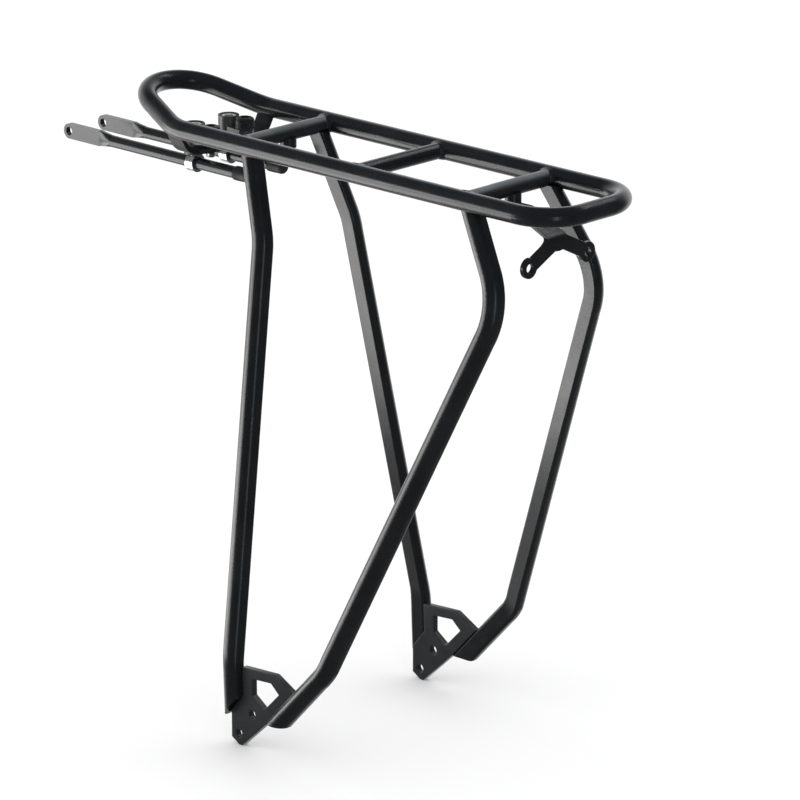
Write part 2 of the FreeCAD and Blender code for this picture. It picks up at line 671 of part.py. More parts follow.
# ---------------------------------------------------------------- bosses and lamp bracket
def boss(x_alias, bottom_alias, bar_alias):
    """Tapped boss welded under a cross bar."""
    bottom = V(dim(x_alias), 0, dim(bottom_alias))
    body = rod(dim("BossDia") / 2, bottom, V(bottom.x, 0, DECK_Z - 2))
    bar = rod(BAR_R, V(dim(bar_alias), -HALF, DECK_Z), V(dim(bar_alias), HALF, DECK_Z))
    thread = rod(dim("BossThread") / 2, bottom - Z_AXIS, V(bottom.x, 0, DECK_Z))
    return body.cut(bar).cut(thread)


shape_node("mudguard_boss", boss("MudguardBossX", "MudguardBossZ", "FrontBarX"))
shape_node("lamp_boss", boss("LampBossX", "LampBossZ", "RearBarX"))

SHEET = dim("LampSheet")
LAMP_HALF = dim("LampSpacing") / 2
EYE_R = 6.2
ARM_HALF_WIDTH = 4.5
# The strip lies flat from this far ahead of the screw to this far behind it.
FLAT_AHEAD = 7
FLAT_BEHIND = 9
LAMP_BENDS = [8, 5]
# The fork leaves the strip this far below the fold.
FORK_DROP = 2.2
FORK_NECK_HALF = 3.5


def lamp_side_profile():
    """Bent strip: flat under the boss, down to the fold, then upright to the eyelets."""
    flat_z = dim("LampBossZ") - SHEET / 2
    points = [
        V(dim("LampBossX") - FLAT_AHEAD, 0, flat_z),
        V(dim("LampBossX") + FLAT_BEHIND, 0, flat_z),
        V(dim("LampHoleX"), 0, dim("LampFoldZ")),
        V(dim("LampHoleX"), 0, dim("LampHoleZ") - EYE_R - 1),
    ]
    path = rounded_path(points, LAMP_BENDS)
    start = path.OrderedVertexes[0].Point
    width = LAMP_HALF + EYE_R + 1
    corners = [start + V(0, y, z) for y, z in
               ((-width, -SHEET / 2), (width, -SHEET / 2), (width, SHEET / 2), (-width, SHEET / 2))]
    return sweep(path, Part.makePolygon(corners + corners[:1]), Y_AXIS)


def lamp_front_outline():
    """What the bracket keeps, seen along X: the strip above and a fork below."""
    strip = dim("LampStrip") / 2
    top = DECK_Z
    hole_z = dim("LampHoleZ")
    neck_z = dim("LampFoldZ") - FORK_DROP
    hole = V(0, LAMP_HALF, hole_z)
    neck = V(0, FORK_NECK_HALF, neck_z)
    along = V(hole - neck).normalize()
    normal = V(0, along.z, -along.y) * ARM_HALF_WIDTH
    limb = [neck + normal, hole + normal, hole - normal, neck - normal]
    reach = X_AXIS * 200
    solid = Part.Face(Part.makePolygon(limb + limb[:1])).extrude(reach)
    solid = solid.fuse(rod(EYE_R, hole, hole + reach))
    solid = solid.fuse(mirrored(solid))
    corners = [V(0, -strip, top), V(0, strip, top), V(0, strip, neck_z), V(0, strip + 4, neck_z - 4),
               V(0, 0, neck_z - 5.5), V(0, -strip - 4, neck_z - 4), V(0, -strip, neck_z)]
    middle = Part.Face(Part.makePolygon(corners + corners[:1])).extrude(reach)
    return solid.fuse(middle)


# Half length of the cutters that drill the bracket's holes.
DRILL_REACH = 10


def lamp_bracket():
    bracket = lamp_side_profile().common(lamp_front_outline())
    for sign in SIDES.values():
        hole = V(dim("LampHoleX"), sign * LAMP_HALF, dim("LampHoleZ"))
        ahead = X_AXIS * DRILL_REACH
        bracket = bracket.cut(rod(dim("EyeletDia") / 2, hole - ahead, hole + ahead))
    screw = V(dim("LampBossX"), 0, dim("LampBossZ"))
    up = Z_AXIS * DRILL_REACH
    return bracket.cut(rod(dim("EyeletDia") / 2, screw - up, screw + up))


LAMP_WASHER = 1.0
LAMP_HEAD_R = 4.7
LAMP_HEAD_HEIGHT = 2.8
LAMP_SCREW_LENGTH = 6.5
LAMP_HEAD_Z = dim("LampBossZ") - SHEET - LAMP_WASHER


def lamp_screw():
    """Button-head screw from below, through washer and bracket into the boss."""
    top = V(dim("LampBossX"), 0, LAMP_HEAD_Z)
    bottom = top - Z_AXIS * LAMP_HEAD_HEIGHT
    head = rod(LAMP_HEAD_R, bottom, top)
    rim = [edge for edge in head.Edges if edge.BoundBox.ZMax < bottom.z + 0.1]
    head = head.makeFillet(1.6, rim)
    shank = rod(dim("BossThread") / 2, top - Z_AXIS, top + Z_AXIS * LAMP_SCREW_LENGTH)
    return head.fuse(shank).cut(hexagon_socket(3.0, 1.7, bottom, Z_AXIS))


def lamp_washer():
    base = V(dim("LampBossX"), 0, LAMP_HEAD_Z)
    disc = Part.makeCylinder(5.0, LAMP_WASHER, base)
    return disc.cut(rod(dim("BossThread") / 2 + 0.5, base - Z_AXIS, base + Z_AXIS * 2))


shape_node("lamp_bracket", lamp_bracket())
shape_node("lamp_screw", lamp_screw())
shape_node("lamp_washer", lamp_washer())

# ---------------------------------------------------------------- checks and export
doc.recompute()
for item in doc.Objects:
    if "Invalid" in item.State or "Error" in item.State:
        raise RuntimeError(f"{item.Name} failed: {item.State}")

os.makedirs("parts", exist_ok=True)
for node in NODES:
    shape = node.Shape
    if shape.isNull() or not shape.isValid() or not shape.Solids:
        raise RuntimeError(f"{node.Label} has no valid solid")
    shape.exportStep(f"parts/{node.Label}.step")
    print(node.Label, len(shape.Solids), round(shape.Volume, 1))
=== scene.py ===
import json
import math

import bmesh
import bpy
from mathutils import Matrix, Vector

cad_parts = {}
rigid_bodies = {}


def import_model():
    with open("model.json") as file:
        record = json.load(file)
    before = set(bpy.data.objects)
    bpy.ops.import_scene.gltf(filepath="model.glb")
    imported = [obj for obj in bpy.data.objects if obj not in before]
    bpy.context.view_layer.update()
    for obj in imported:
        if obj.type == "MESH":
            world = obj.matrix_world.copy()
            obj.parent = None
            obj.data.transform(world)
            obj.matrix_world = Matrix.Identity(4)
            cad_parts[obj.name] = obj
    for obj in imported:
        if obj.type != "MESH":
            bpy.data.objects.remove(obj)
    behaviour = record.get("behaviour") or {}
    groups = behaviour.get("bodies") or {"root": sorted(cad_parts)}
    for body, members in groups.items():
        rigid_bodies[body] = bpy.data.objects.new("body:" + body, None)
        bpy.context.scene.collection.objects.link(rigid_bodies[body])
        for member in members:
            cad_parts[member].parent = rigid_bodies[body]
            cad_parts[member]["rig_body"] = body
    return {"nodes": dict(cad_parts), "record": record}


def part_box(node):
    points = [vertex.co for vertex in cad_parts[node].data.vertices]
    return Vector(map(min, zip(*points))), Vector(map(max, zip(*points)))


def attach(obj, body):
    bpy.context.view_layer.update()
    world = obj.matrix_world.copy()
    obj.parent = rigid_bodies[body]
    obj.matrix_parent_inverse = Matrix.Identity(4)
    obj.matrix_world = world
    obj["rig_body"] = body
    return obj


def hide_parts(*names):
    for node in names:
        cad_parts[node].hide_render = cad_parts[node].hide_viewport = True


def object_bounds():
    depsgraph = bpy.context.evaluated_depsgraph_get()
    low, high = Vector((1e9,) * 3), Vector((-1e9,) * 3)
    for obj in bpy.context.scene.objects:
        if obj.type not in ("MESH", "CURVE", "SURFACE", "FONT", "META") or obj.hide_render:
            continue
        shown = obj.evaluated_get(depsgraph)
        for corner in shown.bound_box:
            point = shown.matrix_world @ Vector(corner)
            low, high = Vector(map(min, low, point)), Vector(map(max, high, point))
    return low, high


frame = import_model()
cad_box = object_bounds()

# Metres, in the CAD frame: +X to the rear of the bicycle, +Y to its right side, +Z up.
MM = 0.001
NODES = frame["nodes"]
SIDES = {"left": -1, "right": 1}


def middle(node):
    """Centre of a CAD node's box."""
    low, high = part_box(node)
    return (low + high) / 2


def height(node):
    """Height of a CAD node's box."""
    low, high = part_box(node)
    return high.z - low.z


# ---------------------------------------------------------------- where the CAD put things
DECK_Z = middle("cross_bar_middle").z
BAR_X = {name: middle(name).x for name in ("cross_bar_front", "cross_bar_middle", "cross_bar_rear")}
BAR_R = height("cross_bar_middle") / 2
# The deck loop is a 12 mm tube.
RAIL_R = 6.0 * MM
RAIL_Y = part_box("deck_rail")[1].y - RAIL_R
STAY_Y = middle("stay_right").y
STAY_Z = middle("stay_right").z
FLOOR_Z = cad_box[0].z


# ---------------------------------------------------------------- materials
class Shader:
    """Small helper for building the node tree of one material."""

    def __init__(self, name):
        self.material = bpy.data.materials.new(name)
        self.material.use_nodes = True
        self.tree = self.material.node_tree
        self.surface = self.tree.nodes["Principled BSDF"]
        self.place = self.add("ShaderNodeTexCoord").outputs["Object"]

    def add(self, kind, **settings):
        """New shader node with the given settings."""
        node = self.tree.nodes.new(kind)
        for key, value in settings.items():
            setattr(node, key, value)
        return node

    def link(self, source, target):
        """Join an output to an input."""
        self.tree.links.new(source, target)

    def noise(self, scale, detail=2.0, stretch=None):
        """Noise in object space; stretch squeezes it along the axes."""
        node = self.add("ShaderNodeTexNoise")
        node.inputs["Scale"].default_value = scale
        node.inputs["Detail"].default_value = detail
        source = self.place
        if stretch:
            mapping = self.add("ShaderNodeMapping")
            mapping.inputs["Scale"].default_value = stretch
            self.link(source, mapping.inputs["Vector"])
            source = mapping.outputs["Vector"]
        self.link(source, node.inputs["Vector"])
        return node.outputs["Fac"]

    def spread(self, source, low, high, start=0.3, stop=0.7):
        """The source's range from start to stop, mapped to low to high."""
        node = self.add("ShaderNodeMapRange")
        node.inputs["From Min"].default_value = start
        node.inputs["From Max"].default_value = stop
        node.inputs["To Min"].default_value = low
        node.inputs["To Max"].default_value = high
        self.link(source, node.inputs["Value"])
        return node.outputs["Result"]

    def mix(self, factor, first, second):
        """Mix two colours; either may be a tuple or a socket."""
        node = self.add("ShaderNodeMix", data_type="RGBA")
        self.link(factor, node.inputs["Factor"])
        for value, socket in ((first, node.inputs[6]), (second, node.inputs[7])):
            if isinstance(value, tuple):
                socket.default_value = (*value, 1.0)
            else:
                self.link(value, socket)
        return node.outputs[2]

    def edges(self, radius):
        """Near 1 along sharp edges, 0 on open faces."""
        bevel = self.add("ShaderNodeBevel", samples=4)
        bevel.inputs["Radius"].default_value = radius
        geometry = self.add("ShaderNodeNewGeometry")
        dot = self.add("ShaderNodeVectorMath", operation="DOT_PRODUCT")
        self.link(bevel.outputs["Normal"], dot.inputs[0])
        self.link(geometry.outputs["Normal"], dot.inputs[1])
        return self.spread(dot.outputs["Value"], 1.0, 0.0, 0.86, 0.995)

    def bump(self, layers):
        """Chain of bumps, each (height socket, distance, strength)."""
        normal = None
        for relief, distance, strength in layers:
            node = self.add("ShaderNodeBump")
            node.inputs["Distance"].default_value = distance
            node.inputs["Strength"].default_value = strength
            self.link(relief, node.inputs["Height"])
            if normal is not None:
                self.link(normal, node.inputs["Normal"])
            normal = node.outputs["Normal"]
        self.link(normal, self.surface.inputs["Normal"])

    def set(self, **values):
        """Uniform values of the surface, on its own sockets."""
        for key, value in values.items():
            self.surface.inputs[key.replace("_", " ")].default_value = value


def powder_coat(name, dark, light, rough, worn, peel=900.0, wear=0.35, painted_top_light=None, coat=0.25):
    """Satin powder coat: orange peel, cloudy gloss, thin rubbed edges and, on some parts, a painted highlight
    on the top.

    The colour clouds between dark and light, and turns to worn along edges. Rough is the mean roughness,
    peel the scale of the orange peel, wear the strength of the rubbed edges, painted_top_light the colour of
    a painted highlight on faces that look up, and coat the weight of the clear top layer.
    """
    shader = Shader(name)
    cloud = shader.noise(38.0, 3.0)
    colour = shader.mix(shader.spread(cloud, 0.0, 1.0), dark, light)
    patchy = shader.noise(160.0, 2.0)
    rubbed = shader.add("ShaderNodeMath", operation="MULTIPLY")
    shader.link(shader.edges(0.6 * MM), rubbed.inputs[0])
    shader.link(shader.spread(patchy, 0.0, wear, 0.42, 0.66), rubbed.inputs[1])
    colour = shader.mix(rubbed.outputs["Value"], colour, worn)
    # Painted highlight: faces that look up are lightened towards this colour, the more so the more they face
    # up, in place of the light the tops catch.
    if painted_top_light:
        split = shader.add("ShaderNodeSeparateXYZ")
        shader.link(shader.add("ShaderNodeNewGeometry").outputs["Normal"], split.inputs["Vector"])
        painted_top_mask = shader.add("ShaderNodeMath", operation="POWER")
        shader.link(shader.spread(split.outputs["Z"], 0.0, 1.0, 0.35, 1.0), painted_top_mask.inputs[0])
        painted_top_mask.inputs[1].default_value = 1.7
        colour = shader.mix(painted_top_mask.outputs["Value"], colour, painted_top_light)
    shader.link(colour, shader.surface.inputs["Base Color"])
    gloss = shader.noise(90.0, 4.0)
    shader.link(shader.spread(gloss, rough - 0.035, rough + 0.045), shader.surface.inputs["Roughness"])
    shader.set(Metallic=0.0, IOR=1.5, Coat_Weight=coat, Coat_Roughness=0.2)
    grain = shader.noise(peel, 2.0)
    fine = shader.noise(peel * 4.2, 1.0)
    shader.bump([(grain, 0.00006, 0.55), (fine, 0.00002, 0.4)])
    return shader.material


def bright_zinc(name, metallic=1.0):
    """Zinc plate: bright, faintly blue, with turning marks and small stains."""
    shader = Shader(name)
    stain = shader.noise(420.0, 3.0)
    colour = shader.mix(shader.spread(stain, 0.0, 1.0), (0.62, 0.65, 0.69), (0.86, 0.87, 0.88))
    shader.link(colour, shader.surface.inputs["Base Color"])
    shader.set(Metallic=metallic)
    lines = shader.noise(300.0, 2.0, stretch=(1.0, 1.0, 22.0))
    shader.link(shader.spread(lines, 0.16, 0.34), shader.surface.inputs["Roughness"])
    shader.bump([(lines, 0.00003, 0.4)])
    return shader.material


def black_oxide(name):
    """Oiled black oxide on steel screws."""
    shader = Shader(name)
    cloud = shader.noise(500.0, 3.0)
    colour = shader.mix(shader.spread(cloud, 0.0, 1.0), (0.012, 0.013, 0.015), (0.035, 0.036, 0.04))
    colour = shader.mix(shader.spread(shader.edges(0.3 * MM), 0.0, 0.5, 0.0, 1.0), colour, (0.12, 0.12, 0.13))
    shader.link(colour, shader.surface.inputs["Base Color"])
    shader.set(Metallic=0.55, IOR=1.6)
    shader.link(shader.spread(cloud, 0.26, 0.42), shader.surface.inputs["Roughness"])
    shader.bump([(shader.noise(2600.0, 2.0), 0.00002, 0.4)])
    return shader.material


def moulded_plastic(name):
    """Matt moulded plastic with a fine spark-eroded grain."""
    shader = Shader(name)
    cloud = shader.noise(200.0, 3.0)
    colour = shader.mix(shader.spread(cloud, 0.0, 1.0), (0.010, 0.010, 0.012), (0.022, 0.023, 0.025))
    shader.link(colour, shader.surface.inputs["Base Color"])
    shader.set(Metallic=0.0, IOR=1.46)
    shader.link(shader.spread(cloud, 0.46, 0.6), shader.surface.inputs["Roughness"])
    shader.bump([(shader.noise(3200.0, 1.0), 0.00003, 0.5)])
    return shader.material


BLACKS = (0.0042, 0.0052, 0.0062), (0.0078, 0.0092, 0.0106)
BLACK_WORN = (0.05, 0.053, 0.057)
COAT = powder_coat("black_powder_coat", *BLACKS, 0.25, BLACK_WORN)
# The front and rear bars' coat gets a painted highlight on faces that look up (its last colour).
GRIP_COAT = powder_coat("grip_powder_coat", (0.005, 0.006, 0.007), (0.009, 0.011, 0.0125), 0.44,
                        (0.06, 0.064, 0.07), peel=1200.0, painted_top_light=(0.105, 0.122, 0.135))
PLATE = powder_coat("plate_powder_coat", (0.013, 0.0145, 0.016), (0.019, 0.0215, 0.0235), 0.30,
                    (0.10, 0.104, 0.11), peel=1100.0, wear=0.5)
STAY = powder_coat("stay_coat", (0.006, 0.0072, 0.0085), (0.010, 0.0115, 0.013), 0.25,
                   (0.08, 0.084, 0.09), peel=1300.0, wear=0.4)
CASTING = powder_coat("casting_coat", (0.024, 0.0245, 0.0255), (0.038, 0.039, 0.04), 0.28,
                      (0.09, 0.092, 0.096), peel=1500.0, wear=0.5)
STRAP = powder_coat("strap_powder_coat", *BLACKS, 0.52, BLACK_WORN, coat=0.0)
ZINC = bright_zinc("bright_zinc")
NUT_ZINC = bright_zinc("zinc_flake", 0.3)
OXIDE = black_oxide("black_oxide")
PLASTIC = moulded_plastic("moulded_plastic")

# Material of each slot of the record, and the nodes that differ from their slot's material.
FINISH = {
    "black_coat": COAT,
    "stay_coat": STAY,
    "arm_casting": CASTING,
    "black_screw": OXIDE,
    "bright_zinc": ZINC,
    "cap_plastic": PLASTIC,
}
SPECIAL = {"cross_bar_front": GRIP_COAT, "cross_bar_rear": GRIP_COAT, "stay_bridge": STRAP}
for side in SIDES:
    SPECIAL.update({f"dropout_plate_{side}": PLATE, f"eye_nut_{side}": NUT_ZINC})
SLOTS = {part["node"]: part["material_slot"] for part in frame["record"]["subparts"]}
for name, slot in SLOTS.items():
    NODES[name].data.materials.clear()
    NODES[name].data.materials.append(SPECIAL.get(name, FINISH[slot]))


# ---------------------------------------------------------------- mesh helpers
SAME_POINT = 1e-7
SHARP_ANGLE = math.radians(38)


def mesh_piece(name, vertices, faces, material, slot, body, smooth=True):
    """Mesh object that rides on a CAD body."""
    mesh = bpy.data.meshes.new(name)
    mesh.from_pydata([tuple(v) for v in vertices], [], faces)
    bm = bmesh.new()
    bm.from_mesh(mesh)
    bmesh.ops.remove_doubles(bm, verts=bm.verts, dist=SAME_POINT)
    bmesh.ops.recalc_face_normals(bm, faces=bm.faces)
    bm.to_mesh(mesh)
    bm.free()
    mesh.materials.append(material)
    piece = bpy.data.objects.new(name, mesh)
    bpy.context.scene.collection.objects.link(piece)
    if smooth:
        mesh.shade_smooth()
        mesh.set_sharp_from_angle(angle=SHARP_ANGLE)
    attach(piece, body)
    return piece


def tube_faces(rings, count, closed):
    """Faces between successive rings of the same number of points; an open tube gets end faces."""
    faces = []
    spans = rings if closed else rings - 1
    for i in range(spans):
        a = i * count
        b = ((i + 1) % rings) * count
        for j in range(count):
            k = (j + 1) % count
            faces.append((a + j, a + k, b + k, b + j))
    if not closed:
        faces.append(tuple(range(count)))
        faces.append(tuple((rings - 1) * count + j for j in range(count)))
    return faces


# ---------------------------------------------------------------- weld beads
BEAD_WIDTH = 2.0 * MM
# Steps across the bead's face, and how deep its root lies in the joint.
BEAD_STEPS = 6
BEAD_ROOT = 0.35 * MM
# The bead's width swells and shrinks along its length, and its face is slightly hollow.
BEAD_RIPPLE = 0.07
BEAD_RIPPLE_PITCH = 1.6 * MM
BEAD_HOLLOW = 0.42


def bead(track):
    """Closed fillet between two surfaces. The track lists (point, first normal, second normal)."""
    vertices = []
    count = len(track)
    travelled = 0.0
    for i, (point, first, second) in enumerate(track):
        ahead = track[(i + 1) % count][0]
        behind = track[i - 1][0]
        along = (ahead - behind).normalized()
        foot_1 = first.cross(along).normalized()
        foot_2 = second.cross(along).normalized()
        if foot_1.dot(second) < 0:
            foot_1 = -foot_1
        if foot_2.dot(first) < 0:
            foot_2 = -foot_2
        reach = BEAD_WIDTH * (1 + BEAD_RIPPLE * math.sin(math.tau * travelled / BEAD_RIPPLE_PITCH))
        start = point + foot_1 * reach
        end = point + foot_2 * reach
        corner = point + (foot_1 + foot_2) * (reach * BEAD_HOLLOW)
        for step in range(BEAD_STEPS + 1):
            u = step / BEAD_STEPS
            vertices.append(start * (1 - u) ** 2 + corner * (2 * u * (1 - u)) + end * u ** 2)
        vertices.append(point - (first + second).normalized() * BEAD_ROOT)
        travelled += (ahead - point).length
    return vertices, tube_faces(count, BEAD_STEPS + 2, True)


def join_parts(parts):
    """Several (vertices, faces) as one."""
    vertices, faces = [], []
    for some, shapes in parts:
        base = len(vertices)
        vertices += some
        faces += [tuple(base + i for i in face) for face in shapes]
    return vertices, faces


def bar_track(bar_x, sign, steps=120):
    """Where a cross bar meets a rail."""
    track = []
    for step in range(steps):
        angle = math.tau * step / steps
        first = Vector((math.cos(angle), 0, math.sin(angle)))
        depth = math.sqrt(RAIL_R ** 2 - (BAR_R * first.z) ** 2)
        point = Vector((bar_x + BAR_R * first.x, sign * (RAIL_Y - depth), DECK_Z + BAR_R * first.z))
        second = Vector((0, -sign * depth, point.z - DECK_Z)).normalized()
        track.append((point, first, second))
    return track


for name, x in BAR_X.items():
    parts = [bead(bar_track(x, sign)) for sign in SIDES.values()]
    mesh_piece(f"weld_{name}", *join_parts(parts), COAT, "black_coat", "rack")


# ---------------------------------------------------------------- softened edges of plates and castings
# Points nearer than this are one, flatter edges are dissolved, and sharper edges are rounded.
MERGE_GAP = 0.002 * MM
FLAT_ANGLE = math.radians(1.0)
ROUNDED_FROM = math.radians(42)
SOFT_SHARP_ANGLE = math.radians(40)


def softened(name, width):
    """Copy of a CAD node with its sharp edges rounded, shown in the node's place."""
    node = NODES[name]
    bm = bmesh.new()
    bm.from_mesh(node.data)
    bmesh.ops.remove_doubles(bm, verts=bm.verts, dist=MERGE_GAP)
    bmesh.ops.dissolve_limit(bm, angle_limit=FLAT_ANGLE, verts=bm.verts, edges=bm.edges)
    sharp = [edge for edge in bm.edges
             if edge.is_manifold and edge.calc_face_angle(0.0) > ROUNDED_FROM]
    bmesh.ops.bevel(bm, geom=sharp, offset=width, offset_type="OFFSET", segments=2,
                    profile=0.5, affect="EDGES", clamp_overlap=True)
    mesh = bpy.data.meshes.new(f"soft_{name}")
    bm.to_mesh(mesh)
    bm.free()
    mesh.materials.append(node.data.materials[0])
    mesh.shade_smooth()
    mesh.set_sharp_from_angle(angle=SOFT_SHARP_ANGLE)
    piece = bpy.data.objects.new(f"soft_{name}", mesh)
    bpy.context.scene.collection.objects.link(piece)
    piece.modifiers.new("flat_faces", "WEIGHTED_NORMAL").keep_sharp = True
    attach(piece, node["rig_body"])
    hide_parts(name)


for side in SIDES:
    softened(f"dropout_plate_{side}", 0.55 * MM)
    softened(f"swivel_arm_{side}", 0.18 * MM)
    softened(f"eye_bolt_{side}", 0.18 * MM)
softened("stay_bridge", 0.45 * MM)
softened("lamp_bracket", 0.4 * MM)


# ---------------------------------------------------------------- turned pieces, drawn in millimetres
# Steps round a cap screw, round an end cap and along a rounded edge.
SCREW_STEPS = 96
CAP_STEPS = 64
ROUND_STEPS = 8


def smooth_surface(radius, along, angle):
    """Surface of a turned piece without dents."""
    return radius


def turned(rings_mm, surface, count):
    """Rings of a turned piece; each ring is (radius, height) in mm, and surface() may dent the radius."""
    rings = []
    for radius, along in rings_mm:
        ring = []
        for step in range(count):
            angle = math.tau * step / count
            local = surface(radius, along, angle)
            ring.append(Vector((local * math.cos(angle), local * math.sin(angle), along)) * MM)
        rings.append(ring)
    return rings


def quarter_round(radius, top, size):
    """Rounded edge as (radius, height), from the side up to the top face."""
    angles = [math.pi / 2 * step / ROUND_STEPS for step in range(ROUND_STEPS + 1)]
    return [(radius - size * (1 - math.cos(angle)), top - size * (1 - math.sin(angle))) for angle in angles]


def triangle_wave(value):
    """0 on whole numbers, 1 halfway between them."""
    part = value % 1.0
    return 1 - abs(2 * part - 1)


# Cap screws of the arms. The CAD head is 12 mm across and 7 mm high; heights count from its underside.
SCREW_LOW, SCREW_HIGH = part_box("arm_screws")
SCREW_X = (SCREW_LOW.x + SCREW_HIGH.x) / 2
HEAD_R, HEAD_HEIGHT, SHANK_R = 6.0, 7.0, 3.0
HEAD_BASE_Z = SCREW_HIGH.z - HEAD_HEIGHT * MM
SCREW_LENGTH = (SCREW_HIGH.z - SCREW_LOW.z) / MM - HEAD_HEIGHT
# The head's lower edge as (inset, height).
HEAD_EDGE = [(0.4, 0.0), (0.1, 0.15), (0.0, 0.4)]
HEAD_SIDE_STEPS = 26
# Diamond knurl on the head's side; it fades in over the lower edge and runs out in the dome.
KNURLS = 32
KNURL_DEPTH = 0.4
KNURL_SLANT = 0.62
KNURL_SHARPNESS = 0.7
KNURL_FROM = 0.35
KNURL_FADE = 0.3
KNURL_TOP = 4.6
KNURL_RUN_OUT = 1.5
KNURL_MIN_R = 4.8
# Thread on the shank, below a plain neck, with a chamfered tip.
THREAD_PITCH = 1.0
THREAD_DEPTH = 0.32
THREAD_STEP = 0.125
THREAD_FROM = -0.4
UNDER_HEAD = -0.02
SHANK_CHAMFER = 0.5
# Length of the shank that has no thread rings: its chamfer and the top of the neck.
SHANK_ENDS = 0.7
# Hexagon socket, 5 mm across its flats.
SOCKET_FLATS = 5.0
SOCKET_MOUTH_FLATS = 5.4
SOCKET_MOUTH_DEPTH = 0.25
SOCKET_FLOOR = 3.0
SOCKET_TIP = (0.4, 2.4)
# The zinc starts this far under the head.
ZINC_GAP = 0.2 * MM


def screw_surface(radius, along, angle):
    """Diamond knurl on the head's side and a thread on the shank."""
    share = angle / math.tau
    if KNURL_FROM < along < KNURL_TOP + KNURL_RUN_OUT and radius > KNURL_MIN_R:
        fade = min(1.0, (along - KNURL_FROM) / KNURL_FADE)
        right = triangle_wave(share * KNURLS + along * KNURL_SLANT)
        left = triangle_wave(share * KNURLS - along * KNURL_SLANT)
        return radius - KNURL_DEPTH * fade * (1 - min(right, left) ** KNURL_SHARPNESS)
    if along < THREAD_FROM:
        return radius - THREAD_DEPTH * (1 - triangle_wave(share + along / THREAD_PITCH))
    return radius


def hexagon_ring(across_flats, along):
    """Ring of a hexagon socket."""
    ring = []
    for step in range(SCREW_STEPS):
        angle = math.tau * step / SCREW_STEPS
        from_flat = (angle % (math.tau / 6)) - math.tau / 12
        radius = across_flats / 2 / math.cos(from_flat)
        ring.append(Vector((radius * math.cos(angle), radius * math.sin(angle), along)) * MM)
    return ring


def cap_screw():
    """Cap screw that stands on the underside of its head."""
    thread_end = SHANK_CHAMFER - SCREW_LENGTH
    thread_rings = int((SCREW_LENGTH - SHANK_ENDS) / THREAD_STEP)
    profile = [(SHANK_R - SHANK_CHAMFER, -SCREW_LENGTH)]
    profile += [(SHANK_R, thread_end + THREAD_STEP * step) for step in range(thread_rings)]
    profile.append((SHANK_R, UNDER_HEAD))
    profile += [(HEAD_R - inset, along) for inset, along in HEAD_EDGE]
    edge_top = HEAD_EDGE[-1][1]
    for step in range(1, HEAD_SIDE_STEPS + 1):
        profile.append((HEAD_R, edge_top + (KNURL_TOP - edge_top) * step / HEAD_SIDE_STEPS))
    # The side's last ring is the dome's first one.
    profile += quarter_round(HEAD_R, HEAD_HEIGHT, HEAD_HEIGHT - KNURL_TOP)[1:]
    rings = turned(profile, screw_surface, SCREW_STEPS)
    rings.append(hexagon_ring(SOCKET_MOUTH_FLATS, HEAD_HEIGHT))
    rings.append(hexagon_ring(SOCKET_FLATS, HEAD_HEIGHT - SOCKET_MOUTH_DEPTH))
    rings.append(hexagon_ring(SOCKET_FLATS, SOCKET_FLOOR))
    rings += turned([SOCKET_TIP], screw_surface, SCREW_STEPS)
    vertices = [point for ring in rings for point in ring]
    return vertices, tube_faces(len(rings), SCREW_STEPS, False)


def moved(part, offset):
    """The (vertices, faces) of a part, shifted by the offset."""
    vertices, faces = part
    return [vertex + offset for vertex in vertices], faces


screws = [moved(cap_screw(), Vector((SCREW_X, sign * STAY_Y, HEAD_BASE_Z))) for sign in SIDES.values()]
cap_screws = mesh_piece("knurled_cap_screws", *join_parts(screws), OXIDE, "black_screw", "rack")
cap_screws.data.materials.append(ZINC)
for face in cap_screws.data.polygons:
    if face.center.z < HEAD_BASE_Z - ZINC_GAP:
        face.material_index = 1
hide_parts("arm_screws")

# End caps of the stays: a ribbed mouth and a rounded end.
CAP_WALL = 0.72
CAP_FLOOR = 3.0
CAP_MOUTH_FLARE = 0.25
CAP_MOUTH_DEPTH = 0.3
CAP_LIP = 0.2
CAP_RIBS = 5
CAP_RIB_PITCH = 1.1
CAP_RIB_DEPTH = 0.3
CAP_RIB_STEPS = 8
CAP_RIB_SHARPNESS = 0.6
CAP_SIDE_INSET = 0.12
CAP_SIDE_FROM = 0.3
CAP_NOSE = 2.6
CAP_CENTRE_R = 0.3


def end_cap():
    """End cap in the size of the CAD one, from its mouth along +X."""
    low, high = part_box("stay_end_cap_right")
    length = (high.x - low.x) / MM
    radius = height("stay_end_cap_right") / 2 / MM
    bore = radius - CAP_WALL
    floor = length - CAP_FLOOR
    profile = [(CAP_CENTRE_R, floor), (bore, floor), (bore, CAP_MOUTH_DEPTH), (bore + CAP_MOUTH_FLARE, 0.0),
               (radius - CAP_LIP, 0.0), (radius, CAP_LIP)]
    for step in range(1, CAP_RIBS * CAP_RIB_STEPS + 1):
        along = CAP_LIP + CAP_RIB_PITCH * step / CAP_RIB_STEPS
        rib = abs(math.cos(math.pi * along / CAP_RIB_PITCH)) ** CAP_RIB_SHARPNESS
        profile.append((radius - CAP_RIB_DEPTH * (1 - rib), along))
    ribs_end = CAP_LIP + CAP_RIBS * CAP_RIB_PITCH
    profile.append((radius - CAP_SIDE_INSET, ribs_end + CAP_SIDE_FROM))
    profile += quarter_round(radius - CAP_SIDE_INSET, length, CAP_NOSE)
    profile.append((CAP_CENTRE_R, length))
    rings = turned(profile, smooth_surface, CAP_STEPS)
    vertices = [Vector((point.z, point.y, -point.x)) for ring in rings for point in ring]
    return vertices, tube_faces(len(rings), CAP_STEPS, False)


for side, sign in SIDES.items():
    mouth = Vector((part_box(f"stay_end_cap_{side}")[0].x, sign * STAY_Y, STAY_Z))
    cap = mesh_piece(f"ribbed_cap_{side}", *moved(end_cap(), mouth), PLASTIC, "cap_plastic", f"stay_{side}")
    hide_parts(f"stay_end_cap_{side}")


